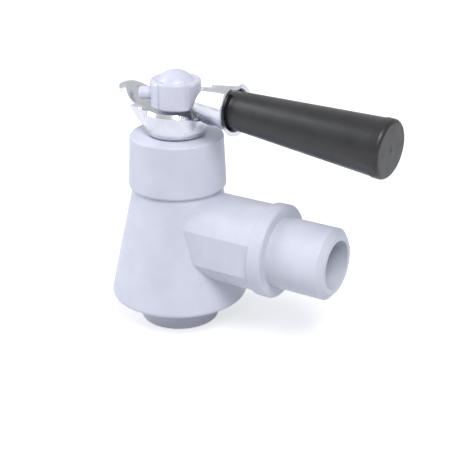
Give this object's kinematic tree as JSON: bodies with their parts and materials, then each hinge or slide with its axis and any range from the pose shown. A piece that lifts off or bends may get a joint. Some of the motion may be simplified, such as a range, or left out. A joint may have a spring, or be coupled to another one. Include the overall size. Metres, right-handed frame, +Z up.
{
  "type": "soft serve dispenser faucet",
  "caption": "Self-closing dispensing faucet: bell-shaped body with a threaded side shank and bottom spout, and a rocking sheet-metal lever with a black grip.",
  "frame": {"origin": "middle of the shank at the flange's sealing face", "axes": "+X along the threaded shank, away from the bell; +Z up along the bell and stem; the lever points along +X at rest"},
  "size_m": [0.1142, 0.0522, 0.0982],
  "materials": {
    "white_plastic": "white moulded plastic, smooth, soft gloss",
    "head_plastic": "white moulded plastic, smooth, soft gloss",
    "zinc_steel": "zinc-plated sheet steel, fine drawing marks, bright cut edges",
    "stem_steel": "turned stainless steel",
    "spring_steel": "drawn spring wire",
    "seat_rubber": "translucent white silicone rubber",
    "black_plastic": "black plastic, satin"
  },
  "bodies": {
    "valve": {"faucet_body": "white_plastic", "bonnet": "white_plastic", "seat_cup": "seat_rubber", "spring": "spring_steel"},
    "lift": {"spring_washer": "stem_steel"},
    "stem": {"stem": "stem_steel", "stem_clip": "spring_steel", "stem_head": "head_plastic"},
    "lever": {"lever_cup": "zinc_steel", "grip": "black_plastic"}
  },
  "joints": [
    {"name": "stem_lift", "type": "slide", "parent": "valve", "child": "lift", "axis": [0, 0, 1], "range_m": [0, 0.0037], "stiffness_N_per_m": 150, "springref_m": -0.004, "deforming": ["spring", "seat_cup"]},
    {"name": "lever_swivel", "type": "hinge", "parent": "lift", "child": "stem", "pos_m": [-0.0454, 0, 0.0373], "axis": [0, 0, 1], "continuous": true},
    {"name": "lever_tilt", "type": "hinge", "parent": "stem", "child": "lever", "pos_m": [-0.05089, 0.00037, 0.0389], "axis": [0.0671, 0.9977, 0], "range_deg": [0, 14]}
  ],
  "couplings": [
    {"joint": "stem_lift", "follows": "lever_tilt", "m_per_rad": 0.0148}
  ]
}
